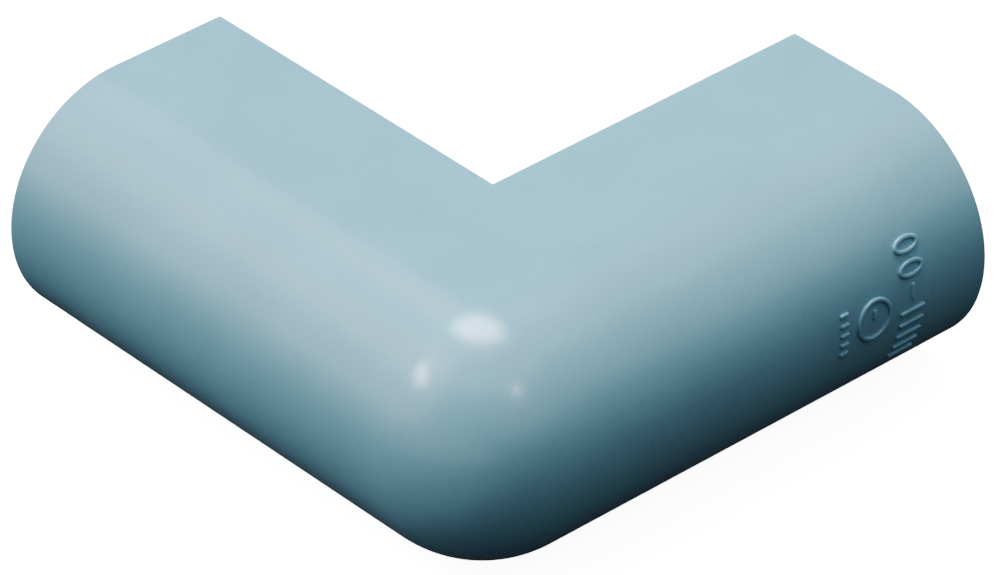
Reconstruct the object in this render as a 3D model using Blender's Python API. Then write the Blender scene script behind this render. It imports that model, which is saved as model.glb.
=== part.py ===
"""External corner elbow for round PVC conduit of nominal size 22, in two mouldings.

An L-shaped wall base is screwed round a building's outside corner, and a U-section cover with a
spherical corner snaps over it. The conduits, 26 mm across, enter both ends and lie in the cover's
half-round.

Lengths are in metres and +Z is up. The elbow lies on its side as it would on a bench, with the bend
in the XY plane. One leg runs along +X and the other along +Y. The origin is under the middle of the
elbow, on the surface that it lies on.
"""

import math

import bmesh
import bpy
from mathutils import Matrix, Vector

MM = 0.001

# Driving dimensions.
CONDUIT_RADIUS = 13.0 * MM  # outside radius of nominal size 22
CONDUIT_WALL = 2.0 * MM
CONDUIT_PLAY = 0.2 * MM
COVER_WALL = 1.8 * MM
LEG_LENGTH = 44.0 * MM  # from the wall's corner to the end of a leg
FIT_GAP = 0.3 * MM  # between pieces that touch

# The cover: a half-round on two flat sides that are as deep as its radius.
COVER_RADIUS = CONDUIT_RADIUS + CONDUIT_PLAY + COVER_WALL
COVER_INNER_RADIUS = COVER_RADIUS - COVER_WALL
FLAT_DEPTH = COVER_RADIUS
COVER_DEPTH = FLAT_DEPTH + COVER_RADIUS
RIDGE_HEIGHT = 0.4 * MM
RIDGE_START = 2.6 * MM  # from the wall
RIDGE_WIDTH = 1.6 * MM
ARC_STEPS = 32  # round the half-round
CORNER_STEPS = 16  # round the spherical corner

# The wall base: a bent plate with rails, cradles and stops.
PLATE_THICKNESS = 2.0 * MM
PLATE_HALF_WIDTH = COVER_INNER_RADIUS - FIT_GAP
PLATE_LENGTH = LEG_LENGTH - 0.5 * MM
PLATE_CORNER_STEPS = 6
RAIL_INNER = 10.4 * MM
RAIL_OUTER = 12.0 * MM
RAIL_TOP = 7.0 * MM  # from the wall
RAIL_START = 3.5 * MM  # from the wall's corner
BEAD_HEIGHT = 0.4 * MM
BEAD_CREST = 5.6 * MM  # from the wall
BEAD_FOOT = 4.8 * MM
RIB_THICKNESS = 1.6 * MM
RIB_TOP = 6.8 * MM  # from the wall
STOP_POSITION = 24.0 * MM  # the face that the conduit's end meets
CRADLE_POSITIONS = (28.5 * MM, 39.5 * MM)
CRADLE_PLAY = 0.1 * MM
RIB_ARC_STEPS = 12
ROOT_DEPTH = 1.0 * MM  # how far into the plate the rails and ribs start

# The screws: 4 x 12 pan heads, in slots that run along the leg.
SCREW_POSITION = 15.5 * MM  # from the wall's corner
SCREW_SIDE_OFFSET = 5.0 * MM
SCREW_LENGTH = 12.0 * MM
SCREW_TIP_LENGTH = 3.5 * MM
SCREW_RADIUS = 2.0 * MM
SCREW_STEPS = 24
HEAD_RADIUS = 3.8 * MM
HEAD_HEIGHT = 2.4 * MM
HEAD_EDGE = 0.5 * MM
HEAD_ARC_STEPS = 6
RECESS_DEPTH = 1.3 * MM
RECESS_HALF_SPAN = 1.9 * MM
RECESS_HALF_WIDTH = 0.45 * MM
RECESS_FLOOR_SCALE = 0.55
RECESS_TOP_SCALE = 1.15
SLOT_HALF_WIDTH = 2.3 * MM
SLOT_HALF_LENGTH = 3.8 * MM
SLOT_ARC_STEPS = 8

# Raised moulding marks on the right leg: a column of ovals and bars, with a date dial and ticks beside it.
MARK_HEIGHT = 0.3 * MM
MARK_ROOT = 0.6 * MM  # how far into the wall a mark starts
MARK_STROKE = 0.5 * MM
MARK_COLUMN = 33.0 * MM  # from the wall's corner
MARK_REACH = 1.8 * MM  # half of the column's width
OVAL_REACH = 1.0 * MM  # half of an oval, round the curve
MARK_OVALS = (6.9 * MM, 4.2 * MM)  # places round the curve, from the middle of the half-round
MARK_DASH = (2.5 * MM, 0.5 * MM)  # its two ends
MARK_BARS = (-0.9 * MM, -2.5 * MM, -4.1 * MM, -5.7 * MM, -7.3 * MM)
DIAL_PLACE = (27.3 * MM, 0.4 * MM)
DIAL_RADIUS = 2.3 * MM
DIAL_HAND = 1.3 * MM
TICK_COLUMN = 22.9 * MM
TICK_REACH = 0.6 * MM
TICKS = (2.8 * MM, 1.6 * MM, 0.4 * MM, -0.8 * MM, -2.0 * MM)
RING_STEPS = 20

SAME_POINT = 0.001 * MM

# The wall's corner edge at half the elbow's height. Both legs are measured from it.
CORNER_OFFSET = (COVER_DEPTH - LEG_LENGTH) / 2
WALL_CORNER = Vector((CORNER_OFFSET, CORNER_OFFSET, COVER_RADIUS))

COVER_COLOUR = (0.37, 0.51, 0.59, 1.0)
BASE_COLOUR = (0.33, 0.46, 0.53, 1.0)
ZINC_COLOUR = (0.62, 0.62, 0.60, 1.0)


def right_leg(along, depth, height):
    """A point of the leg along +X: how far along it, how far off the wall, how far above the middle."""
    return WALL_CORNER + Vector((along, -depth, height))


def left_leg(along, depth, height):
    """The same for the leg along +Y."""
    return WALL_CORNER + Vector((-depth, along, height))


def clear_scene():
    for obj in list(bpy.data.objects):
        bpy.data.objects.remove(obj)


def make_material(name, colour, roughness, metallic):
    material = bpy.data.materials.new(name)
    material.use_nodes = True
    shader = material.node_tree.nodes["Principled BSDF"]
    shader.inputs["Base Color"].default_value = colour
    shader.inputs["Roughness"].default_value = roughness
    shader.inputs["Metallic"].default_value = metallic
    return material


def mesh_from(builder, name):
    """Ends a bmesh as a mesh that faces outwards and is smooth between its sharp edges."""
    bmesh.ops.remove_doubles(builder, verts=builder.verts, dist=SAME_POINT)
    bmesh.ops.recalc_face_normals(builder, faces=builder.faces)
    mesh = bpy.data.meshes.new(name)
    builder.to_mesh(mesh)
    builder.free()
    mesh.shade_smooth()
    mesh.set_sharp_from_angle(angle=math.radians(30))
    return mesh


def add_object(name, mesh):
    obj = bpy.data.objects.new(name, mesh)
    bpy.context.scene.collection.objects.link(obj)
    return obj


def add_helper(name, mesh):
    """A shape that a piece is joined to or cut by, and that is no piece itself."""
    helper = add_object(name, mesh)
    helper.hide_render = True
    helper.display_type = "WIRE"
    return helper


def add_boolean(obj, helper, operation):
    modifier = obj.modifiers.new(operation.title(), "BOOLEAN")
    modifier.solver = "EXACT"
    modifier.operation = operation
    modifier.object = helper
    modifier.use_self = operation == "UNION"


def add_prism(builder, near_outline, far_outline):
    """Adds a closed prism between two outlines of the same number of points."""
    near = [builder.verts.new(point) for point in near_outline]
    far = [builder.verts.new(point) for point in far_outline]
    builder.faces.new(near)
    builder.faces.new(far)
    for i in range(len(near)):
        j = (i + 1) % len(near)
        builder.faces.new((near[i], near[j], far[j], far[i]))


def arc_section(radius, start, end, steps):
    """(depth, height) points of an arc about the conduit's centre line. Angle 0 points off the wall."""
    points = []
    for i in range(steps + 1):
        angle = start + (end - start) * i / steps
        points.append((FLAT_DEPTH + radius * math.cos(angle), radius * math.sin(angle)))
    return points


def snap_ridge(side):
    """(depth, height) points of the ridge inside one flat side, from its edge inwards."""
    face = COVER_INNER_RADIUS * side
    crest = face - RIDGE_HEIGHT * side
    return [
        (RIDGE_START, face),
        (RIDGE_START + 0.4 * RIDGE_WIDTH, crest),
        (RIDGE_START + 0.6 * RIDGE_WIDTH, crest),
        (RIDGE_START + RIDGE_WIDTH, face),
    ]


def cover_section():
    """The cover's closed U section as (depth, height) points: out round one skin, back round the other."""
    quarter = math.pi / 2
    return [
        (0, COVER_RADIUS),
        *arc_section(COVER_RADIUS, quarter, -quarter, ARC_STEPS),
        (0, -COVER_RADIUS),
        (0, -COVER_INNER_RADIUS),
        *snap_ridge(-1),
        *arc_section(COVER_INNER_RADIUS, -quarter, quarter, ARC_STEPS),
        *reversed(snap_ridge(1)),
        (0, COVER_INNER_RADIUS),
    ]


def corner_point(depth, height, turn):
    """A section point in the bend. The flat sides are mitred, and the rest turns about the
    spherical corner's centre."""
    beyond = depth - FLAT_DEPTH
    if beyond <= 0:
        return right_leg(-depth, depth, height)
    along = -FLAT_DEPTH - beyond * math.sin(turn)
    return right_leg(along, FLAT_DEPTH + beyond * math.cos(turn), height)


def build_cover(material):
    """The U section carried along one leg, round the corner and along the other leg."""
    section = cover_section()
    stations = [[right_leg(LEG_LENGTH, *point) for point in section]]
    for i in range(CORNER_STEPS + 1):
        turn = math.pi / 2 * i / CORNER_STEPS
        stations.append([corner_point(*point, turn) for point in section])
    stations.append([left_leg(LEG_LENGTH, *point) for point in section])
    builder = bmesh.new()
    rings = [[builder.verts.new(point) for point in station] for station in stations]
    for ring, following in zip(rings, rings[1:]):
        for i in range(len(section)):
            j = (i + 1) % len(section)
            builder.faces.new((ring[i], ring[j], following[j], following[i]))
    builder.faces.new(rings[0])
    builder.faces.new(rings[-1])
    mesh = mesh_from(builder, "elbow_cover")
    mesh.materials.append(material)
    cover = add_object("elbow_cover", mesh)
    add_boolean(cover, build_marks(), "UNION")


def raised_point(along, arc, lift):
    """A point on the right leg's half-round, from its place along the leg and round the curve."""
    angle = arc / COVER_RADIUS
    radius = COVER_RADIUS + lift
    return right_leg(along, FLAT_DEPTH + radius * math.cos(angle), radius * math.sin(angle))


def add_raised_bar(builder, start, end):
    """Adds a straight mark between two (along, arc) points."""
    start, end = Vector(start), Vector(end)
    side = (end - start).normalized().orthogonal() * MARK_STROKE / 2
    outline = (start - side, start + side, end + side, end - side)
    add_prism(
        builder,
        [raised_point(*point, -MARK_ROOT) for point in outline],
        [raised_point(*point, MARK_HEIGHT) for point in outline],
    )


def add_raised_ring(builder, centre, reach_along, reach_round):
    """Adds an oval about an (along, arc) point, as a row of wedges that share their ends."""
    half = MARK_STROKE / 2
    corners = ((-half, -MARK_ROOT), (half, -MARK_ROOT), (half, MARK_HEIGHT), (-half, MARK_HEIGHT))
    loops = []
    for i in range(RING_STEPS):
        turn = 2 * math.pi * i / RING_STEPS
        loop = []
        for offset, lift in corners:
            along = centre[0] + (reach_along + offset) * math.cos(turn)
            arc = centre[1] + (reach_round + offset) * math.sin(turn)
            loop.append(builder.verts.new(raised_point(along, arc, lift)))
        loops.append(loop)
    for i in range(RING_STEPS):
        near, far = loops[i], loops[(i + 1) % RING_STEPS]
        for j in range(4):
            k = (j + 1) % 4
            builder.faces.new((near[j], near[k], far[k], far[j]))


def build_marks():
    builder = bmesh.new()
    inset = MARK_STROKE / 2
    for arc in MARK_OVALS:
        add_raised_ring(builder, (MARK_COLUMN, arc), MARK_REACH - inset, OVAL_REACH - inset)
    add_raised_bar(builder, (MARK_COLUMN, MARK_DASH[0]), (MARK_COLUMN, MARK_DASH[1]))
    for column, reach, arcs in ((MARK_COLUMN, MARK_REACH, MARK_BARS), (TICK_COLUMN, TICK_REACH, TICKS)):
        for arc in arcs:
            add_raised_bar(builder, (column - reach, arc), (column + reach, arc))
    add_raised_ring(builder, DIAL_PLACE, DIAL_RADIUS, DIAL_RADIUS)
    add_raised_bar(builder, DIAL_PLACE, (DIAL_PLACE[0], DIAL_PLACE[1] + DIAL_HAND))
    return add_helper("raised_marks", mesh_from(builder, "raised_marks"))


def plate_outline(height):
    """The bent plate seen along Z: its back on the two walls, its front rounded at the corner."""
    rounding = []
    for i in range(PLATE_CORNER_STEPS + 1):
        turn = math.pi / 2 * i / PLATE_CORNER_STEPS
        along = -PLATE_THICKNESS * math.sin(turn)
        rounding.append(right_leg(along, PLATE_THICKNESS * math.cos(turn), height))
    return [
        right_leg(0, 0, height),
        right_leg(PLATE_LENGTH, 0, height),
        right_leg(PLATE_LENGTH, PLATE_THICKNESS, height),
        *rounding,
        left_leg(PLATE_LENGTH, PLATE_THICKNESS, height),
        left_leg(PLATE_LENGTH, 0, height),
    ]


def rail_section(side):
    """One rail as (depth, height) points, with the bead that holds the cover's ridge."""
    return [
        (ROOT_DEPTH, RAIL_INNER * side),
        (RAIL_TOP, RAIL_INNER * side),
        (RAIL_TOP, (RAIL_OUTER - BEAD_HEIGHT) * side),
        (BEAD_CREST, (RAIL_OUTER + BEAD_HEIGHT) * side),
        (BEAD_FOOT, RAIL_OUTER * side),
        (ROOT_DEPTH, RAIL_OUTER * side),
    ]


def rib_section(hollow_radius):
    """A rib from rail to rail, hollowed to a circle about the conduit's centre line."""
    end = (RAIL_INNER + RAIL_OUTER) / 2
    reach = math.acos((FLAT_DEPTH - RIB_TOP) / hollow_radius)
    return [
        (ROOT_DEPTH, -end),
        (ROOT_DEPTH, end),
        (RIB_TOP, end),
        *arc_section(hollow_radius, math.pi - reach, math.pi + reach, RIB_ARC_STEPS),
        (RIB_TOP, -end),
    ]


def build_rails_and_ribs():
    """The rails, the cradles under the conduits and the stops that their ends meet."""
    cradle = rib_section(CONDUIT_RADIUS + CRADLE_PLAY)
    stop = rib_section(CONDUIT_RADIUS - CONDUIT_WALL)
    spans = [(rail_section(side), RAIL_START, PLATE_LENGTH) for side in (1, -1)]
    spans += [(cradle, start, start + RIB_THICKNESS) for start in CRADLE_POSITIONS]
    spans.append((stop, STOP_POSITION - RIB_THICKNESS, STOP_POSITION))
    builder = bmesh.new()
    for leg in (right_leg, left_leg):
        for section, start, end in spans:
            near = [leg(start, *point) for point in section]
            far = [leg(end, *point) for point in section]
            add_prism(builder, near, far)
    return add_helper("rails_and_ribs", mesh_from(builder, "rails_and_ribs"))


def slot_outline(offset):
    """A slot with round ends, as (along, height) points."""
    straight = SLOT_HALF_LENGTH - SLOT_HALF_WIDTH
    points = []
    for end, start in ((1, -math.pi / 2), (-1, math.pi / 2)):
        for i in range(SLOT_ARC_STEPS + 1):
            angle = start + math.pi * i / SLOT_ARC_STEPS
            along = SCREW_POSITION + end * straight + SLOT_HALF_WIDTH * math.cos(angle)
            points.append((along, offset + SLOT_HALF_WIDTH * math.sin(angle)))
    return points


def build_slot_cutters():
    builder = bmesh.new()
    for leg in (right_leg, left_leg):
        for offset in (SCREW_SIDE_OFFSET, -SCREW_SIDE_OFFSET):
            outline = slot_outline(offset)
            near = [leg(along, -PLATE_THICKNESS, height) for along, height in outline]
            far = [leg(along, 2 * PLATE_THICKNESS, height) for along, height in outline]
            add_prism(builder, near, far)
    return add_helper("slot_cutters", mesh_from(builder, "slot_cutters"))


def build_base(material):
    builder = bmesh.new()
    add_prism(builder, plate_outline(-PLATE_HALF_WIDTH), plate_outline(PLATE_HALF_WIDTH))
    mesh = mesh_from(builder, "wall_base")
    mesh.materials.append(material)
    base = add_object("wall_base", mesh)
    add_boolean(base, build_rails_and_ribs(), "UNION")
    add_boolean(base, build_slot_cutters(), "DIFFERENCE")


def screw_profile():
    """Half of the screw's outline as (radius, height) points from the top of its head to its tip.
    Height 0 is the underside of the head."""
    points = []
    for i in range(HEAD_ARC_STEPS + 1):
        angle = math.pi / 2 * (1 - i / HEAD_ARC_STEPS)
        crown = (HEAD_HEIGHT - HEAD_EDGE) * math.sin(angle)
        points.append((HEAD_RADIUS * math.cos(angle), HEAD_EDGE + crown))
    return [
        *points,
        (HEAD_RADIUS, 0),
        (SCREW_RADIUS, 0),
        (SCREW_RADIUS, SCREW_TIP_LENGTH - SCREW_LENGTH),
        (0, -SCREW_LENGTH),
    ]


def build_screw_mesh(material):
    """One screw turned about Z with its head up. All four screws share it."""
    builder = bmesh.new()
    verts = [builder.verts.new((radius, 0, height)) for radius, height in screw_profile()]
    edges = [builder.edges.new(pair) for pair in zip(verts, verts[1:])]
    bmesh.ops.spin(
        builder,
        geom=verts + edges,
        cent=(0, 0, 0),
        axis=(0, 0, 1),
        angle=2 * math.pi,
        steps=SCREW_STEPS,
        use_merge=True,
    )
    mesh = mesh_from(builder, "pan_head_screw")
    mesh.materials.append(material)
    return mesh


def build_recess_mesh():
    """A cross that narrows downwards, for the driver, in the screw's own frame."""
    corners = [
        Vector((RECESS_HALF_SPAN, -RECESS_HALF_WIDTH)),
        Vector((RECESS_HALF_SPAN, RECESS_HALF_WIDTH)),
        Vector((RECESS_HALF_WIDTH, RECESS_HALF_WIDTH)),
    ]
    cross = []
    for quarter in range(4):
        spin = Matrix.Rotation(quarter * math.pi / 2, 2)
        cross += [spin @ corner for corner in corners]
    floor = HEAD_HEIGHT - RECESS_DEPTH
    top = HEAD_HEIGHT + RECESS_DEPTH
    builder = bmesh.new()
    add_prism(
        builder,
        [(point * RECESS_FLOOR_SCALE).to_3d() + Vector((0, 0, floor)) for point in cross],
        [(point * RECESS_TOP_SCALE).to_3d() + Vector((0, 0, top)) for point in cross],
    )
    return mesh_from(builder, "recess")


def build_screws(material):
    """Four screws, two in each leg, with their heads on the plate and their tips in the wall."""
    screw_mesh = build_screw_mesh(material)
    recess_mesh = build_recess_mesh()
    legs = (
        ("right", right_leg, Matrix.Rotation(math.pi / 2, 4, "X")),
        ("left", left_leg, Matrix.Rotation(-math.pi / 2, 4, "Y")),
    )
    levels = (("upper", SCREW_SIDE_OFFSET), ("lower", -SCREW_SIDE_OFFSET))
    for side, leg, turn in legs:
        for level, height in levels:
            seat = leg(SCREW_POSITION, PLATE_THICKNESS + FIT_GAP, height)
            screw = add_object(f"screw_{side}_{level}", screw_mesh)
            screw.matrix_world = Matrix.Translation(seat) @ turn
            recess = add_helper(f"recess_{side}_{level}", recess_mesh)
            recess.matrix_world = screw.matrix_world
            add_boolean(screw, recess, "DIFFERENCE")


def main():
    clear_scene()
    build_cover(make_material("cover_pvc", COVER_COLOUR, 0.35, 0.0))
    build_base(make_material("base_pvc", BASE_COLOUR, 0.5, 0.0))
    build_screws(make_material("zinc_steel", ZINC_COLOUR, 0.35, 1.0))


main()
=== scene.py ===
"""Looks for the PVC conduit elbow: fine moulded shapes, materials, studio and camera.

The CAD model gives every size and place. Each of its plain solids is replaced with the same piece in
fine detail, which rides on the same body. Lengths are in metres, and +Z is up.
"""

import math

import bmesh
import bpy
from mathutils import Matrix, Vector


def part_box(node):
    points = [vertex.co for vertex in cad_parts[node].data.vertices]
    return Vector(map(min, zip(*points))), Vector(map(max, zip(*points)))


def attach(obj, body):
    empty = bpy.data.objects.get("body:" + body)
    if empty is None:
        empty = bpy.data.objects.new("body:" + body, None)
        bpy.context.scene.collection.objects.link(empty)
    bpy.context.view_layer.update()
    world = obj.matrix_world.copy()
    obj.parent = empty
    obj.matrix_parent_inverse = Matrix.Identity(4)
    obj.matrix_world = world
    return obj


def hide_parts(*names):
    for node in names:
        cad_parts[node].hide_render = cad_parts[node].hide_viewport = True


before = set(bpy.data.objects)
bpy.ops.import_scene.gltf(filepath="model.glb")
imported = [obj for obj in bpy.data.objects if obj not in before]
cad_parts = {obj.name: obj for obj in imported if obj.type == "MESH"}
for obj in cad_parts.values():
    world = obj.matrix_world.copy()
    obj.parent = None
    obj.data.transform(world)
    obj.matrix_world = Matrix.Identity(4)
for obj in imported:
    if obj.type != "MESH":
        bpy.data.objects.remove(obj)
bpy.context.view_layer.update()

MM = 0.001
QUARTER = math.pi / 2

# ---------------------------------------------------------------- sizes, from the CAD frame

cover_low, cover_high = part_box("elbow_cover")
base_low, base_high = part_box("wall_base")

COVER_RADIUS = (cover_high.z - cover_low.z) / 2
COVER_WALL = 1.8 * MM
INNER_RADIUS = COVER_RADIUS - COVER_WALL
FLAT_DEPTH = COVER_RADIUS
LEG_LENGTH = cover_high.x - cover_low.x - FLAT_DEPTH - COVER_RADIUS
WALL_CORNER = Vector((cover_high.x - LEG_LENGTH, cover_high.y - LEG_LENGTH, COVER_RADIUS))

COVER_EDGE = 0.3 * MM  # rounding of the cover's edges
END_EDGE = 0.24 * MM  # the same at the two ends
RIDGE_HEIGHT = 0.4 * MM
RIDGE_START = 2.6 * MM  # from the wall
RIDGE_WIDTH = 1.6 * MM
RIDGE_FOOT = 0.25 * MM  # rounding where it leaves the side
RIDGE_CREST = 0.3 * MM  # rounding of its top, more than END_EDGE so that the end's rounding fits
ARC_STEPS = 80
CORNER_STEPS = 48
EDGE_STEPS = 4
LEG_STEPS = 18
FLAT_STEPS = 6

PLATE_THICKNESS = 2.0 * MM
PLATE_HALF_WIDTH = (base_high.z - base_low.z) / 2
PLATE_LENGTH = base_high.x - WALL_CORNER.x
PLATE_CORNER_STEPS = 12
RAIL_INNER = 10.4 * MM
RAIL_OUTER = 12.0 * MM
RAIL_TOP = WALL_CORNER.x - base_low.x
RAIL_START = 3.5 * MM
BEAD_HEIGHT = 0.4 * MM
BEAD_CREST = 5.6 * MM
BEAD_FOOT = 4.8 * MM
RIB_THICKNESS = 1.6 * MM
RIB_TOP = 6.8 * MM
STOP_POSITION = 24.0 * MM
STOP_RADIUS = 11.0 * MM
CRADLE_POSITIONS = (28.5 * MM, 39.5 * MM)
CRADLE_RADIUS = 13.1 * MM
RIB_ARC_STEPS = 32
ROOT_DEPTH = 1.0 * MM  # how far into the plate the rails and ribs start
BASE_EDGE = 0.18 * MM
BASE_EDGE_STEPS = 3

SCREW_POSITION = 15.5 * MM
SCREW_SIDE_OFFSET = 5.0 * MM
SCREW_GAP = 0.3 * MM
SCREW_LENGTH = 12.0 * MM
CREST_RADIUS = 2.0 * MM
CORE_RADIUS = 1.4 * MM
THREAD_PITCH = 1.5 * MM
THREAD_WIDTH = 0.45  # of the pitch
THREAD_STEPS = 12  # in each pitch
NECK_LENGTH = 0.6 * MM
TIP_LENGTH = 3.5 * MM
HEAD_RADIUS = 3.8 * MM
HEAD_HEIGHT = 2.4 * MM
HEAD_EDGE = 0.5 * MM
HEAD_ROUNDING = 0.15 * MM
SCREW_STEPS = 64
DOME_STEPS = 12
SCREW_SHARP_FROM = 50  # degrees between faces
RECESS_DEPTH = 1.3 * MM
RECESS_HALF_SPAN = 1.9 * MM
RECESS_HALF_WIDTH = 0.45 * MM
RECESS_FLOOR_SCALE = 0.55
RECESS_TOP_SCALE = 1.15
SLOT_HALF_WIDTH = 2.3 * MM
SLOT_HALF_LENGTH = 3.8 * MM
SLOT_ARC_STEPS = 24


def right_leg(along, depth, height):
    """A point of the leg along +X: how far along it, how far off the wall, how far above the middle."""
    return WALL_CORNER + Vector((along, -depth, height))


def left_leg(along, depth, height):
    """The same for the leg along +Y."""
    return WALL_CORNER + Vector((-depth, along, height))


# ---------------------------------------------------------------- mesh helpers


def finish_mesh(builder, name, sharp_from=40):
    """The built mesh, smooth except where faces meet at more than an angle in degrees."""
    bmesh.ops.remove_doubles(builder, verts=builder.verts, dist=0.0005 * MM)
    bmesh.ops.recalc_face_normals(builder, faces=builder.faces)
    mesh = bpy.data.meshes.new(name)
    builder.to_mesh(mesh)
    builder.free()
    mesh.shade_smooth()
    mesh.set_sharp_from_angle(angle=math.radians(sharp_from))
    return mesh


def add_object(name, mesh):
    obj = bpy.data.objects.new(name, mesh)
    bpy.context.scene.collection.objects.link(obj)
    return obj


def join_rings(builder, rings):
    """Joins rings of points into an open tube, and gives back the rings' vertices."""
    rings = [[builder.verts.new(point) for point in ring] for ring in rings]
    for ring, following in zip(rings, rings[1:]):
        for i in range(len(ring)):
            j = (i + 1) % len(ring)
            builder.faces.new((ring[i], ring[j], following[j], following[i]))
    return rings


def add_skin(builder, rings):
    """Joins rings of points into a closed tube with flat capped ends."""
    rings = join_rings(builder, rings)
    builder.faces.new(rings[0])
    builder.faces.new(rings[-1])


def add_prism(builder, near_outline, far_outline):
    """Adds a closed prism between two outlines of the same number of points."""
    add_skin(builder, [near_outline, far_outline])


def rounded_loop(corners, steps):
    """A closed loop of 2D points from ((x, y), rounding) corners, with the rounded ones as arcs."""
    loop = []
    for i, (corner, rounding) in enumerate(corners):
        corner = Vector(corner)
        if not rounding:
            loop.append(corner)
            continue
        before = (Vector(corners[i - 1][0]) - corner).normalized()
        after = (Vector(corners[(i + 1) % len(corners)][0]) - corner).normalized()
        half = before.angle(after) / 2
        centre = corner + (before + after).normalized() * rounding / math.sin(half)
        start = corner + before * rounding / math.tan(half) - centre
        end = corner + after * rounding / math.tan(half) - centre
        sweep = -start.angle_signed(end)
        for step in range(steps + 1):
            loop.append(centre + Matrix.Rotation(sweep * step / steps, 2) @ start)
    return loop


def inset_loop(loop, inset):
    """The closed 2D loop moved inwards by the inset. The loop runs clockwise."""
    moved = []
    for i, point in enumerate(loop):
        into = (point - loop[i - 1]).normalized()
        out = (loop[(i + 1) % len(loop)] - point).normalized()
        normal_in = Vector((into.y, -into.x))
        normal_out = Vector((out.y, -out.x))
        moved.append(point + (normal_in + normal_out) * inset / (1 + normal_in.dot(normal_out)))
    return moved


def edge_rounding(radius, steps=EDGE_STEPS):
    """(inset, setback) pairs of a rounded edge, from the side that it ends to the face that it meets."""
    pairs = []
    for step in range(steps + 1):
        angle = QUARTER * step / steps
        pairs.append((radius * (1 - math.cos(angle)), radius * (1 - math.sin(angle))))
    return pairs


def arc_points(radius, start, end, steps):
    """(depth, height) points of an arc about the conduit's centre line. Angle 0 points off the wall."""
    points = []
    for i in range(steps + 1):
        angle = start + (end - start) * i / steps
        points.append((FLAT_DEPTH + radius * math.cos(angle), radius * math.sin(angle)))
    return points


def shape_by(obj, cutter, operation):
    """Joins a cutter to the object's mesh, or cuts it away, and removes the cutter."""
    modifier = obj.modifiers.new(operation.title(), "BOOLEAN")
    modifier.operation = operation
    modifier.object = cutter
    modifier.use_self = operation == "UNION"
    evaluated = obj.evaluated_get(bpy.context.evaluated_depsgraph_get())
    shaped = bpy.data.meshes.new_from_object(evaluated)
    obj.modifiers.clear()
    obj.data = shaped
    bpy.data.objects.remove(cutter)


def round_edges(obj, width, segments, from_angle=35):
    """Rounds the edges whose faces meet at more than an angle in degrees."""
    modifier = obj.modifiers.new("Rounded edges", "BEVEL")
    modifier.width = width
    modifier.segments = segments
    modifier.limit_method = "ANGLE"
    modifier.angle_limit = math.radians(from_angle)
    modifier.harden_normals = True


def keep_flats_flat(obj):
    """Weighted normals keep a flat face flat up to its rounded edge."""
    modifier = obj.modifiers.new("Weighted normals", "WEIGHTED_NORMAL")
    modifier.keep_sharp = True
    modifier.weight = 100


# ---------------------------------------------------------------- the cover


def ridge_corners(side):
    """The snap ridge inside one flat side, as rounded corners from the wall inwards."""
    face = INNER_RADIUS * side
    crest = face - RIDGE_HEIGHT * side
    return [
        ((RIDGE_START, face), RIDGE_FOOT),
        ((RIDGE_START + 0.4 * RIDGE_WIDTH, crest), RIDGE_CREST),
        ((RIDGE_START + 0.6 * RIDGE_WIDTH, crest), RIDGE_CREST),
        ((RIDGE_START + RIDGE_WIDTH, face), RIDGE_FOOT),
    ]


def flat_points(start, height):
    """Points along a flat side, from near its edge to the half-round."""
    step = (FLAT_DEPTH - start) / FLAT_STEPS
    return [((start + step * i, height), 0) for i in range(1, FLAT_STEPS)]


def cover_section():
    """The cover's U section as a closed loop of (depth, height) points: out round one skin, and
    back round the other."""
    ridge_end = RIDGE_START + RIDGE_WIDTH + RIDGE_FOOT
    corners = [
        ((0, COVER_RADIUS), COVER_EDGE),
        *flat_points(COVER_EDGE, COVER_RADIUS),
        *[(point, 0) for point in arc_points(COVER_RADIUS, QUARTER, -QUARTER, ARC_STEPS)],
        *reversed(flat_points(COVER_EDGE, -COVER_RADIUS)),
        ((0, -COVER_RADIUS), COVER_EDGE),
        ((0, -INNER_RADIUS), COVER_EDGE),
        *ridge_corners(-1),
        *flat_points(ridge_end, -INNER_RADIUS),
        *[(point, 0) for point in arc_points(INNER_RADIUS, -QUARTER, QUARTER, ARC_STEPS)],
        *reversed(flat_points(ridge_end, INNER_RADIUS)),
        *reversed(ridge_corners(1)),
        ((0, INNER_RADIUS), COVER_EDGE),
    ]
    return rounded_loop(corners, EDGE_STEPS)


def corner_point(depth, height, turn):
    """A section point in the bend. The flat sides are mitred, and the rest turns about the
    spherical corner's centre."""
    beyond = depth - FLAT_DEPTH
    if beyond <= 0:
        return right_leg(-depth, depth, height)
    along = -FLAT_DEPTH - beyond * math.sin(turn)
    return right_leg(along, FLAT_DEPTH + beyond * math.cos(turn), height)


def leg_rings(leg, section):
    """The rings of a leg, from its rounded end to near the bend."""
    rings = []
    for inset, setback in reversed(edge_rounding(END_EDGE)):
        rings.append([leg(LEG_LENGTH - setback, *point) for point in inset_loop(section, inset)])
    for i in range(1, LEG_STEPS):
        along = (LEG_LENGTH - END_EDGE) * (1 - i / LEG_STEPS)
        rings.append([leg(along, *point) for point in section])
    return rings


def build_cover(material):
    section = cover_section()
    rings = leg_rings(right_leg, section)
    for i in range(CORNER_STEPS + 1):
        turn = QUARTER * i / CORNER_STEPS
        rings.append([corner_point(*point, turn) for point in section])
    rings += reversed(leg_rings(left_leg, section))
    builder = bmesh.new()
    add_skin(builder, rings)
    cover = add_object("cover_shell", finish_mesh(builder, "cover_shell"))
    cover.data.materials.append(material)
    keep_flats_flat(cover)
    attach(cover, "cover")
    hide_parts("elbow_cover")


# ---------------------------------------------------------------- raised moulding marks

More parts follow.
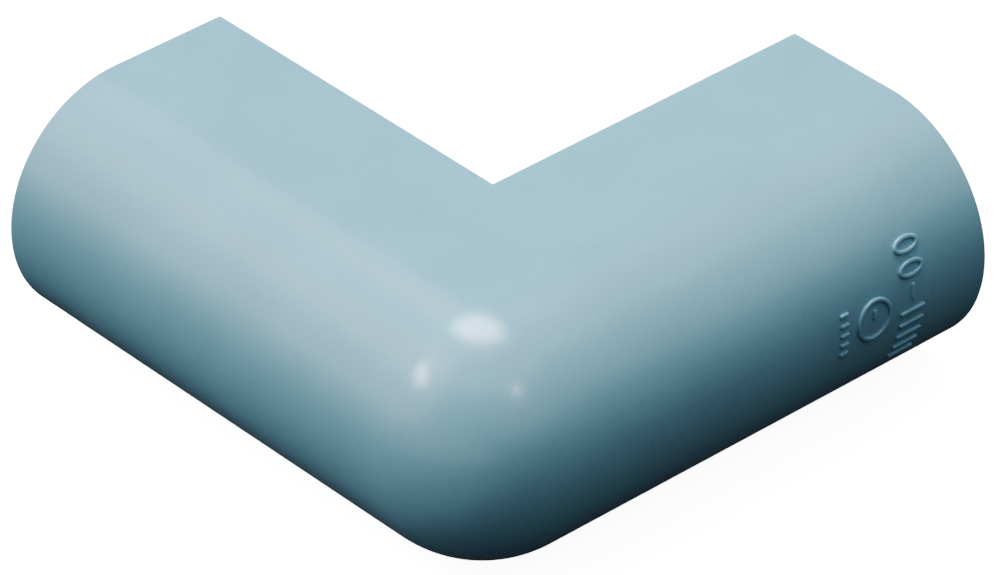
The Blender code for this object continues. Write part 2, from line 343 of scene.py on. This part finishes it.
MARK_HEIGHT = cover_high.y - cover_low.y - LEG_LENGTH - FLAT_DEPTH - COVER_RADIUS
MARK_ROOT = 0.3 * MM  # how far into the wall a mark starts
MARK_STROKE = 0.5 * MM
MARK_EDGE = 0.17 * MM
MARK_COLUMN = 33.0 * MM  # from the wall's corner
MARK_REACH = 1.8 * MM  # half of the column's width
OVAL_REACH = 1.0 * MM  # half of an oval, round the curve
MARK_OVALS = (6.9 * MM, 4.2 * MM)  # places round the curve, from the middle of the half-round
MARK_DASH = (2.5 * MM, 0.5 * MM)  # its two ends
MARK_BARS = (-0.9 * MM, -2.5 * MM, -4.1 * MM, -5.7 * MM, -7.3 * MM)
DIAL_PLACE = (27.3 * MM, 0.4 * MM)
DIAL_RADIUS = 2.3 * MM
DIAL_HAND = 1.3 * MM
TICK_COLUMN = 22.9 * MM
TICK_REACH = 0.6 * MM
TICKS = (2.8 * MM, 1.6 * MM, 0.4 * MM, -0.8 * MM, -2.0 * MM)
RING_STEPS = 48
BAR_END_STEPS = 8


def raised_point(along, arc, lift):
    """A point on the right leg's half-round, from its place along the leg and round the curve."""
    angle = arc / COVER_RADIUS
    radius = COVER_RADIUS + lift
    return right_leg(along, FLAT_DEPTH + radius * math.cos(angle), radius * math.sin(angle))


def stroke_profile():
    """(half width, lift) pairs of a mark's section, from its root to its rounded top."""
    pairs = [(MARK_STROKE / 2, -MARK_ROOT)]
    for inset, setback in edge_rounding(MARK_EDGE):
        pairs.append((MARK_STROKE / 2 - inset, MARK_HEIGHT - setback))
    return pairs


def add_bar(builder, start, end):
    """Adds a straight mark with round ends between two (along, arc) points."""
    start, end = Vector(start), Vector(end)
    heading = math.atan2(end.y - start.y, end.x - start.x)
    inset = (end - start).normalized() * MARK_STROKE / 2
    rings = []
    for half_width, lift in stroke_profile():
        ring = []
        for centre, first in ((end - inset, heading - QUARTER), (start + inset, heading + QUARTER)):
            for step in range(BAR_END_STEPS + 1):
                angle = first + math.pi * step / BAR_END_STEPS
                point = centre + half_width * Vector((math.cos(angle), math.sin(angle)))
                ring.append(raised_point(*point, lift))
        rings.append(ring)
    add_skin(builder, rings)


def add_ring(builder, centre, reach_along, reach_round):
    """Adds an oval mark about an (along, arc) point. The reaches go to the middle of its stroke."""
    profile = stroke_profile()
    section = profile + [(-half, lift) for half, lift in reversed(profile)]
    loops = []
    for step in range(RING_STEPS):
        angle = 2 * math.pi * step / RING_STEPS
        middle = Vector(centre) + Vector((reach_along * math.cos(angle), reach_round * math.sin(angle)))
        outwards = Vector((reach_round * math.cos(angle), reach_along * math.sin(angle))).normalized()
        loop = [raised_point(*(middle + outwards * offset), lift) for offset, lift in section]
        loops.append([builder.verts.new(point) for point in loop])
    for i, loop in enumerate(loops):
        following = loops[(i + 1) % RING_STEPS]
        for j in range(len(section)):
            k = (j + 1) % len(section)
            builder.faces.new((loop[j], loop[k], following[k], following[j]))


def build_marks(material):
    builder = bmesh.new()
    inset = MARK_STROKE / 2
    for arc in MARK_OVALS:
        add_ring(builder, (MARK_COLUMN, arc), MARK_REACH - inset, OVAL_REACH - inset)
    add_bar(builder, (MARK_COLUMN, MARK_DASH[0]), (MARK_COLUMN, MARK_DASH[1]))
    for column, reach, arcs in ((MARK_COLUMN, MARK_REACH, MARK_BARS), (TICK_COLUMN, TICK_REACH, TICKS)):
        for arc in arcs:
            add_bar(builder, (column - reach, arc), (column + reach, arc))
    add_ring(builder, DIAL_PLACE, DIAL_RADIUS, DIAL_RADIUS)
    add_bar(builder, DIAL_PLACE, (DIAL_PLACE[0], DIAL_PLACE[1] + DIAL_HAND))
    marks = add_object("moulding_marks", finish_mesh(builder, "moulding_marks"))
    marks.data.materials.append(material)
    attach(marks, "cover")


# ---------------------------------------------------------------- the wall base


def plate_outline(height):
    """The bent plate seen along Z: its back on the two walls, its front rounded at the corner."""
    rounding = []
    for i in range(PLATE_CORNER_STEPS + 1):
        turn = QUARTER * i / PLATE_CORNER_STEPS
        along = -PLATE_THICKNESS * math.sin(turn)
        rounding.append(right_leg(along, PLATE_THICKNESS * math.cos(turn), height))
    return [
        right_leg(0, 0, height),
        right_leg(PLATE_LENGTH, 0, height),
        right_leg(PLATE_LENGTH, PLATE_THICKNESS, height),
        *rounding,
        left_leg(PLATE_LENGTH, PLATE_THICKNESS, height),
        left_leg(PLATE_LENGTH, 0, height),
    ]


def rail_section(side):
    """One rail as (depth, height) points, with the bead that holds the cover's ridge."""
    return [
        (ROOT_DEPTH, RAIL_INNER * side),
        (RAIL_TOP, RAIL_INNER * side),
        (RAIL_TOP, (RAIL_OUTER - BEAD_HEIGHT) * side),
        (BEAD_CREST, (RAIL_OUTER + BEAD_HEIGHT) * side),
        (BEAD_FOOT, RAIL_OUTER * side),
        (ROOT_DEPTH, RAIL_OUTER * side),
    ]


def rib_section(hollow_radius):
    """A rib from rail to rail, hollowed to a circle about the conduit's centre line."""
    end = (RAIL_INNER + RAIL_OUTER) / 2
    reach = math.acos((FLAT_DEPTH - RIB_TOP) / hollow_radius)
    return [
        (ROOT_DEPTH, -end),
        (ROOT_DEPTH, end),
        (RIB_TOP, end),
        *arc_points(hollow_radius, math.pi - reach, math.pi + reach, RIB_ARC_STEPS),
        (RIB_TOP, -end),
    ]


def build_rails_and_ribs():
    spans = [(rail_section(side), RAIL_START, PLATE_LENGTH) for side in (1, -1)]
    spans += [(rib_section(CRADLE_RADIUS), start, start + RIB_THICKNESS) for start in CRADLE_POSITIONS]
    spans.append((rib_section(STOP_RADIUS), STOP_POSITION - RIB_THICKNESS, STOP_POSITION))
    builder = bmesh.new()
    for leg in (right_leg, left_leg):
        for section, start, end in spans:
            near = [leg(start, *point) for point in section]
            far = [leg(end, *point) for point in section]
            add_prism(builder, near, far)
    return add_object("rails_and_ribs", finish_mesh(builder, "rails_and_ribs"))


def slot_outline(offset):
    """A slot with round ends, as (along, height) points."""
    straight = SLOT_HALF_LENGTH - SLOT_HALF_WIDTH
    points = []
    for end, start in ((1, -QUARTER), (-1, QUARTER)):
        for i in range(SLOT_ARC_STEPS + 1):
            angle = start + math.pi * i / SLOT_ARC_STEPS
            along = SCREW_POSITION + end * straight + SLOT_HALF_WIDTH * math.cos(angle)
            points.append((along, offset + SLOT_HALF_WIDTH * math.sin(angle)))
    return points


def build_slot_cutters():
    builder = bmesh.new()
    for leg in (right_leg, left_leg):
        for offset in (SCREW_SIDE_OFFSET, -SCREW_SIDE_OFFSET):
            outline = slot_outline(offset)
            near = [leg(along, -PLATE_THICKNESS, height) for along, height in outline]
            far = [leg(along, 2 * PLATE_THICKNESS, height) for along, height in outline]
            add_prism(builder, near, far)
    return add_object("slot_cutters", finish_mesh(builder, "slot_cutters"))


def build_base(material):
    builder = bmesh.new()
    add_prism(builder, plate_outline(-PLATE_HALF_WIDTH), plate_outline(PLATE_HALF_WIDTH))
    base = add_object("base_moulding", finish_mesh(builder, "base_moulding"))
    shape_by(base, build_rails_and_ribs(), "UNION")
    shape_by(base, build_slot_cutters(), "DIFFERENCE")
    base.data.materials.clear()
    base.data.materials.append(material)
    round_edges(base, BASE_EDGE, BASE_EDGE_STEPS)
    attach(base, "base")
    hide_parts("wall_base")


# ---------------------------------------------------------------- the screws


def thread_radius(drop, angle):
    """The shank's radius at a distance under the head and an angle round it."""
    phase = (drop / THREAD_PITCH - angle / (2 * math.pi)) % 1
    ridge = max(0, 1 - abs(phase - 0.5) / (THREAD_WIDTH / 2))
    taper = min(1, (SCREW_LENGTH - drop) / TIP_LENGTH)
    grown = min(1, max(0, drop - NECK_LENGTH) / THREAD_PITCH)
    return taper * (CORE_RADIUS + ridge * grown * (CREST_RADIUS - CORE_RADIUS))


def head_profile():
    """(radius, height) points of the pan head, from its crown to the shank. Height 0 is its seat."""
    rise = HEAD_HEIGHT - HEAD_EDGE
    points = []
    for i in range(1, DOME_STEPS + 1):
        angle = QUARTER * i / DOME_STEPS
        points.append((HEAD_RADIUS * math.sin(angle), HEAD_EDGE + rise * math.cos(angle)))
    centre_radius = HEAD_RADIUS - HEAD_ROUNDING
    for i in range(EDGE_STEPS + 1):
        angle = QUARTER * i / EDGE_STEPS
        radius = centre_radius + HEAD_ROUNDING * math.cos(angle)
        points.append((radius, HEAD_ROUNDING * (1 - math.sin(angle))))
    return points


def build_screw_mesh():
    """One screw without its recess, about Z with its head up."""
    angles = [2 * math.pi * i / SCREW_STEPS for i in range(SCREW_STEPS)]
    rings = []
    for radius, height in head_profile():
        rings.append([(radius * math.cos(a), radius * math.sin(a), height) for a in angles])
    steps = round(SCREW_LENGTH / THREAD_PITCH * THREAD_STEPS)
    for step in range(steps):
        drop = SCREW_LENGTH * step / steps
        radii = [thread_radius(drop, a) for a in angles]
        rings.append([(r * math.cos(a), r * math.sin(a), -drop) for r, a in zip(radii, angles)])
    builder = bmesh.new()
    rings = join_rings(builder, rings)
    for ring, height in ((rings[0], HEAD_HEIGHT), (rings[-1], -SCREW_LENGTH)):
        pole = builder.verts.new((0, 0, height))
        for i in range(SCREW_STEPS):
            builder.faces.new((ring[i], ring[(i + 1) % SCREW_STEPS], pole))
    return finish_mesh(builder, "pan_head_screw", SCREW_SHARP_FROM)


def build_recess_mesh():
    """A cross that narrows downwards, for the driver, in the screw's own frame."""
    corners = [
        Vector((RECESS_HALF_SPAN, -RECESS_HALF_WIDTH)),
        Vector((RECESS_HALF_SPAN, RECESS_HALF_WIDTH)),
        Vector((RECESS_HALF_WIDTH, RECESS_HALF_WIDTH)),
    ]
    cross = []
    for quarter in range(4):
        spin = Matrix.Rotation(quarter * QUARTER, 2)
        cross += [spin @ corner for corner in corners]
    floor = [(*(point * RECESS_FLOOR_SCALE), HEAD_HEIGHT - RECESS_DEPTH) for point in cross]
    top = [(*(point * RECESS_TOP_SCALE), HEAD_HEIGHT + RECESS_DEPTH) for point in cross]
    builder = bmesh.new()
    add_prism(builder, floor, top)
    return finish_mesh(builder, "recess")


def build_screws(material):
    """Four screws, two in each leg, with their heads on the plate and their tips in the wall."""
    pattern = add_object("screw_pattern", build_screw_mesh())
    shape_by(pattern, add_object("recess", build_recess_mesh()), "DIFFERENCE")
    mesh = pattern.data
    mesh.materials.clear()
    mesh.materials.append(material)
    bpy.data.objects.remove(pattern)
    legs = (
        ("right", right_leg, Matrix.Rotation(QUARTER, 4, "X")),
        ("left", left_leg, Matrix.Rotation(-QUARTER, 4, "Y")),
    )
    for side, leg, turn in legs:
        for level, height in (("upper", SCREW_SIDE_OFFSET), ("lower", -SCREW_SIDE_OFFSET)):
            screw = add_object(f"pan_head_{side}_{level}", mesh)
            seat = leg(SCREW_POSITION, PLATE_THICKNESS + SCREW_GAP, height)
            screw.matrix_world = Matrix.Translation(seat) @ turn
            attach(screw, "base")
            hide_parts(f"screw_{side}_{level}")


# ---------------------------------------------------------------- materials


COVER_COLOUR = (0.295, 0.529, 0.66)
BASE_COLOUR = (0.26, 0.47, 0.585)
COVER_ROUGHNESS = 0.22
BASE_ROUGHNESS = 0.4
COVER_GRAIN = 0.012 * MM  # depth of the mould texture
BASE_GRAIN = 0.03 * MM
PVC_IOR = 1.53
PVC_SPECULAR = 0.7
PVC_WEAR = (0.51, 0.58)  # pointiness where wear starts, and where it is full
WORN_PALENESS = 0.3
WORN_DULLNESS = 0.12
GLOSS_SPREAD = 0.02
WAVE_HEIGHT = 0.05 * MM
PIGMENT_SCALE = 70  # noise scales, in lumps to the metre
WAVE_SCALE = 110
GLOSS_SCALE = 190
WEAR_SCALE = 420
SPECKLE_SCALE = 1400
GRAIN_SCALE = 3200

ZINC_BLUISH = (0.66, 0.69, 0.74)
ZINC_YELLOWISH = (0.74, 0.73, 0.68)
ZINC_RUBBED = (0.82, 0.82, 0.81)
ZINC_WEAR = (0.52, 0.6)
ZINC_ROUGHNESS = (0.3, 0.42)
ZINC_GRAIN = 0.006 * MM
TINT_SCALE = 500
CLOUD_SCALE = 900
PLATING_SCALE = 4000


class Finish:
    """A Principled material whose values vary by noise in the piece's own coordinates."""

    def __init__(self, name):
        self.material = bpy.data.materials.new(name)
        self.material.use_nodes = True
        self.nodes = self.material.node_tree.nodes
        self.links = self.material.node_tree.links
        self.shader = self.nodes["Principled BSDF"]
        self.place = self.nodes.new("ShaderNodeTexCoord").outputs["Object"]

    def link(self, value, socket):
        self.links.new(value, self.shader.inputs[socket])

    def noise(self, scale, detail=3.0):
        """Noise about 0.5, in about that many lumps to the metre."""
        texture = self.nodes.new("ShaderNodeTexNoise")
        texture.inputs["Scale"].default_value = scale
        texture.inputs["Detail"].default_value = detail
        self.links.new(self.place, texture.inputs["Vector"])
        return texture.outputs["Fac"]

    def remap(self, value, from_low, from_high, low, high):
        node = self.nodes.new("ShaderNodeMapRange")
        node.interpolation_type = "SMOOTHSTEP"
        limits = {"From Min": from_low, "From Max": from_high, "To Min": low, "To Max": high}
        for socket, limit in limits.items():
            node.inputs[socket].default_value = limit
        self.links.new(value, node.inputs["Value"])
        return node.outputs["Result"]

    def combine(self, operation, a, b):
        node = self.nodes.new("ShaderNodeMath")
        node.operation = operation
        self.links.new(a, node.inputs[0])
        self.links.new(b, node.inputs[1])
        return node.outputs["Value"]

    def mix(self, factor, a, b):
        """Two colours mixed. Each is a colour or another node's output."""
        node = self.nodes.new("ShaderNodeMix")
        node.data_type = "RGBA"
        self.links.new(factor, node.inputs["Factor"])
        for colour, socket in ((a, node.inputs[6]), (b, node.inputs[7])):
            if isinstance(colour, tuple):
                socket.default_value = (*colour, 1)
            else:
                self.links.new(colour, socket)
        return node.outputs[2]

    def worn_edges(self, start, full):
        """How worn a place is, from 0 to 1: its outer edges are, in patches."""
        pointiness = self.nodes.new("ShaderNodeNewGeometry").outputs["Pointiness"]
        edges = self.remap(pointiness, start, full, 0, 1)
        patches = self.remap(self.noise(WEAR_SCALE), 0.35, 0.6, 0.2, 1)
        return self.combine("MULTIPLY", edges, patches)

    def bump(self, layers):
        """Adds up bumps of (noise, height in metres) pairs."""
        normal = None
        for height, distance in layers:
            node = self.nodes.new("ShaderNodeBump")
            node.inputs["Distance"].default_value = distance
            self.links.new(height, node.inputs["Height"])
            if normal:
                self.links.new(normal, node.inputs["Normal"])
            normal = node.outputs["Normal"]
        self.link(normal, "Normal")


def shade(colour, factor):
    return tuple(channel * factor for channel in colour)


def pvc(name, colour, roughness, grain):
    """Moulded PVC: slightly uneven pigment and gloss, fine mould texture and dull worn edges."""
    finish = Finish(name)
    finish.shader.inputs["IOR"].default_value = PVC_IOR
    finish.shader.inputs["Specular IOR Level"].default_value = PVC_SPECULAR
    pigment = finish.remap(finish.noise(PIGMENT_SCALE), 0.3, 0.7, 0, 1)
    speckle = finish.remap(finish.noise(SPECKLE_SCALE, 1), 0.55, 0.75, 0, 0.35)
    body = finish.mix(pigment, shade(colour, 0.97), shade(colour, 1.03))
    body = finish.mix(speckle, body, shade(colour, 0.9))
    wear = finish.worn_edges(*PVC_WEAR)
    pale = finish.remap(wear, 0, 1, 0, WORN_PALENESS)
    finish.link(finish.mix(pale, body, shade(colour, 1.35)), "Base Color")
    glossy, matt = roughness - GLOSS_SPREAD, roughness + GLOSS_SPREAD
    gloss = finish.remap(finish.noise(GLOSS_SCALE), 0.3, 0.7, glossy, matt)
    dull = finish.remap(wear, 0, 1, 0, WORN_DULLNESS)
    finish.link(finish.combine("ADD", gloss, dull), "Roughness")
    waves = finish.noise(WAVE_SCALE, 1)
    finish.bump(((waves, WAVE_HEIGHT), (finish.noise(GRAIN_SCALE, 2), grain)))
    return finish.material


def zinc():
    """Bright zinc plating with a faint bluish passivation, and rubbed crests."""
    finish = Finish("zinc_plating")
    finish.shader.inputs["Metallic"].default_value = 1.0
    tint = finish.remap(finish.noise(TINT_SCALE), 0.35, 0.65, 0, 1)
    plating = finish.mix(tint, ZINC_BLUISH, ZINC_YELLOWISH)
    wear = finish.worn_edges(*ZINC_WEAR)
    finish.link(finish.mix(wear, plating, ZINC_RUBBED), "Base Color")
    clouds = finish.remap(finish.noise(CLOUD_SCALE), 0.3, 0.7, *ZINC_ROUGHNESS)
    finish.link(clouds, "Roughness")
    finish.bump(((finish.noise(PLATING_SCALE, 2), ZINC_GRAIN),))
    return finish.material


# ---------------------------------------------------------------- studio and camera

AIM = WALL_CORNER + Vector((-8, -8, 0)) * MM  # where the lights point
LIGHT_DISTANCE = 2.0
SOFTBOXES = (  # name, azimuth, elevation, width, height, radiance, roll
    ("key", 146, 71, 34, 26, 3.8, -36),
    ("strip", -122.5, 43, 8, 18, 6.0, 62),
    ("spark", 1, 49, 4, 7, 7.0, 0),
    ("overhead", 137.6, 88, 80, 80, 0.3, 0),
    ("back", 200, 58, 70, 50, 0.22, 0),
    ("side", -125, 36, 60, 55, 0.36, 0),
    ("front", 25, 39, 110, 45, 0.115, 0),
    ("low_front", -90, 8, 120, 30, 0.13, 0),
    ("low_back", 137.6, 3, 60, 16, 4.5, 0),
)
WORLD_LEVEL = 0.02
FLOOR_DROP = 0.02 * MM
FLOOR_REACH = 10
FLOOR_WHITE = 0.9
FLOOR_GLOW = 0.88


def direction(azimuth, elevation):
    """The unit vector towards a place at that azimuth, 0 being -Y and 90 being +X."""
    a, e = math.radians(azimuth), math.radians(elevation)
    return Vector((math.sin(a) * math.cos(e), -math.cos(a) * math.cos(e), math.sin(e)))


def add_softbox(name, azimuth, elevation, width, height, radiance, roll):
    """An oval area light that faces the elbow. Its width and height are the angles that it spans as
    seen from the elbow, a radiance of 1 looks white, and the roll turns it about its middle."""
    light = bpy.data.lights.new(name, "AREA")
    light.shape = "ELLIPSE"
    light.size = 2 * LIGHT_DISTANCE * math.tan(math.radians(width / 2))
    light.size_y = 2 * LIGHT_DISTANCE * math.tan(math.radians(height / 2))
    light.energy = radiance * math.pi * light.size * light.size_y * math.pi / 4
    lamp = add_object(name, light)
    towards = direction(azimuth, elevation)
    lamp.location = AIM + towards * LIGHT_DISTANCE
    lamp.rotation_mode = "QUATERNION"
    turn = Matrix.Rotation(math.radians(roll), 4, "Z")
    facing = towards.to_track_quat("Z", "Y")
    lamp.rotation_quaternion = facing @ turn.to_quaternion()


def build_world():
    world = bpy.data.worlds.new("studio")
    bpy.context.scene.world = world
    world.use_nodes = True
    world.node_tree.nodes["Background"].inputs["Color"].default_value = (1, 1, 1, 1)
    world.node_tree.nodes["Background"].inputs["Strength"].default_value = WORLD_LEVEL


def build_floor():
    """A pale floor just under the elbow. It is left out of bounced light and reflections."""
    builder = bmesh.new()
    bmesh.ops.create_grid(builder, x_segments=1, y_segments=1, size=FLOOR_REACH)
    floor = add_object("floor", finish_mesh(builder, "floor"))
    floor.location.z = -FLOOR_DROP
    material = bpy.data.materials.new("pale_floor")
    material.use_nodes = True
    shader = material.node_tree.nodes["Principled BSDF"]
    shader.inputs["Base Color"].default_value = (FLOOR_WHITE, FLOOR_WHITE, FLOOR_WHITE, 1)
    shader.inputs["Roughness"].default_value = 0.9
    shader.inputs["Specular IOR Level"].default_value = 0.0
    shader.inputs["Emission Color"].default_value = (1, 1, 1, 1)
    shader.inputs["Emission Strength"].default_value = FLOOR_GLOW
    floor.data.materials.append(material)
    floor.visible_diffuse = False
    floor.visible_glossy = False


CAMERA_AZIMUTH = -42.37
CAMERA_ELEVATION = 34.63
CAMERA_ROLL = 0.36
CAMERA_DISTANCE = 53.95 * COVER_RADIUS
CAMERA_LENS = 274.7  # mm, on the default sensor 36 mm wide
AIM_RIGHT = 0.054 * COVER_RADIUS
AIM_UP = 0.090 * COVER_RADIUS


def build_camera():
    data = bpy.data.cameras.new("camera")
    data.lens = CAMERA_LENS
    data.clip_start = 0.01
    data.clip_end = 100
    camera = add_object("camera", data)
    back = direction(CAMERA_AZIMUTH, CAMERA_ELEVATION)
    right = Vector((0, 0, 1)).cross(back).normalized()
    up = back.cross(right)
    camera.location = WALL_CORNER + back * CAMERA_DISTANCE
    aim = WALL_CORNER + right * AIM_RIGHT + up * AIM_UP
    view = (camera.location - aim).to_track_quat("Z", "Y")
    roll = Matrix.Rotation(math.radians(CAMERA_ROLL), 4, "Z")
    camera.rotation_euler = (view.to_matrix().to_4x4() @ roll).to_euler()
    bpy.context.scene.camera = camera


TONE_POWER = 0.42
TOE_POWER = 1.8
TOE = 0.007
TONE_POINTS = 12


def tone(level):
    """The photograph's contrast: deep shadows, and a slow rise to white. Levels run from 0 to 1."""
    toe = level**TOE_POWER
    return level**TONE_POWER * toe * (1 + TOE) / (toe + TOE)


def set_tone():
    settings = bpy.context.scene.view_settings
    settings.view_transform = "Standard"
    settings.use_curve_mapping = True
    curve = settings.curve_mapping.curves[3]  # the one for all channels together
    for i in range(1, TONE_POINTS):
        level = (i / TONE_POINTS) ** 2
        curve.points.new(level, tone(level))
    settings.curve_mapping.update()


# ---------------------------------------------------------------- the whole scene

cover_pvc = pvc("moulded_cover_pvc", COVER_COLOUR, COVER_ROUGHNESS, COVER_GRAIN)
base_pvc = pvc("moulded_base_pvc", BASE_COLOUR, BASE_ROUGHNESS, BASE_GRAIN)
build_cover(cover_pvc)
build_marks(cover_pvc)
build_base(base_pvc)
build_screws(zinc())

build_floor()
build_world()
for softbox in SOFTBOXES:
    add_softbox(*softbox)
build_camera()
set_tone()
